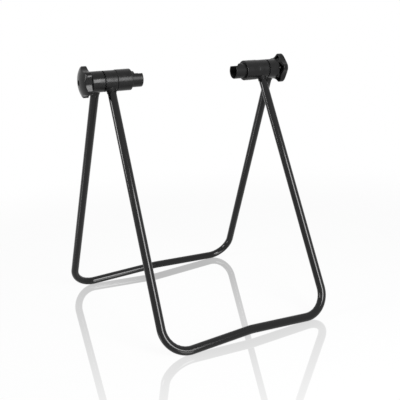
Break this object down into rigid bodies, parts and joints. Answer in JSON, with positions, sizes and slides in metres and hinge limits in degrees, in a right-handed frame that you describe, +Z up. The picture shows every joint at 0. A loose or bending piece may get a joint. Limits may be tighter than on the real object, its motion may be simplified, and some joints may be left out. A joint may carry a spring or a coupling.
{
  "type": "bicycle display stand",
  "caption": "Folding stand that holds a bicycle by its rear axle: two U-shaped tube frames hinged at toothed hubs, with slotted axle cups moved by lobed screw knobs.",
  "frame": {"origin": "middle of the footprint on the floor: bottom centre of the bounding box in the open, pictured stance", "axes": "+X along the hub axis towards the right-hand hub as seen from the front, -Y towards the front frame's foot, +Z up"},
  "size_m": [0.3458, 0.3666, 0.3933],
  "materials": {
    "frame_paint": "gloss black powder paint on steel tube",
    "hub_plastic": "black moulded nylon, fine satin grain",
    "cup_plastic": "black moulded nylon, satin",
    "knob_plastic": "black moulded plastic, half gloss",
    "washer_plastic": "dark acetal",
    "steel": "bright zinc",
    "spring_steel": "oiled spring steel",
    "black_steel": "blackened steel"
  },
  "bodies": {
    "front_frame": {"front_frame_tube": "frame_paint", "front_leg_pins": "steel", "left_inner_collar": "hub_plastic", "left_sleeve": "hub_plastic", "left_hinge_bush": "steel", "left_flat_washer": "steel", "left_retaining_ring": "spring_steel", "right_inner_collar": "hub_plastic", "right_sleeve": "hub_plastic", "right_hinge_bush": "steel", "right_flat_washer": "steel", "right_retaining_ring": "spring_steel"},
    "rear_frame": {"rear_frame_tube": "frame_paint", "rear_leg_pins": "steel", "left_outer_collar": "hub_plastic", "right_outer_collar": "hub_plastic"},
    "left_knob": {"left_knob": "knob_plastic", "left_spindle": "steel", "left_thrust_washer": "washer_plastic", "left_knob_screw": "black_steel"},
    "left_axle_cup": {"left_axle_cup": "cup_plastic", "left_cup_nut": "steel"},
    "right_knob": {"right_knob": "knob_plastic", "right_spindle": "steel", "right_thrust_washer": "washer_plastic", "right_knob_screw": "black_steel"},
    "right_axle_cup": {"right_axle_cup": "cup_plastic", "right_cup_nut": "steel"}
  },
  "joints": [
    {"name": "rear_frame_fold", "type": "hinge", "parent": "front_frame", "child": "rear_frame", "pos_m": [0, -0.0224, 0.3705], "axis": [-1, 0, 0], "range_deg": [0, 51.7]},
    {"name": "left_knob_turn", "type": "hinge", "parent": "front_frame", "child": "left_knob", "pos_m": [-0.165, -0.0224, 0.3705], "axis": [1, 0, 0], "range_deg": [-921.6, 2534.4]},
    {"name": "left_cup_slide", "type": "slide", "parent": "front_frame", "child": "left_axle_cup", "axis": [1, 0, 0], "range_m": [-0.00321, 0.00881]},
    {"name": "right_knob_turn", "type": "hinge", "parent": "front_frame", "child": "right_knob", "pos_m": [0.165, -0.0224, 0.3705], "axis": [-1, 0, 0], "range_deg": [-1152, 2304]},
    {"name": "right_cup_slide", "type": "slide", "parent": "front_frame", "child": "right_axle_cup", "axis": [-1, 0, 0], "range_m": [-0.00401, 0.00801]}
  ],
  "couplings": [
    {"joint": "left_cup_slide", "follows": "left_knob_turn", "m_per_rad": 0.00019894},
    {"joint": "right_cup_slide", "follows": "right_knob_turn", "m_per_rad": 0.00019894}
  ]
}
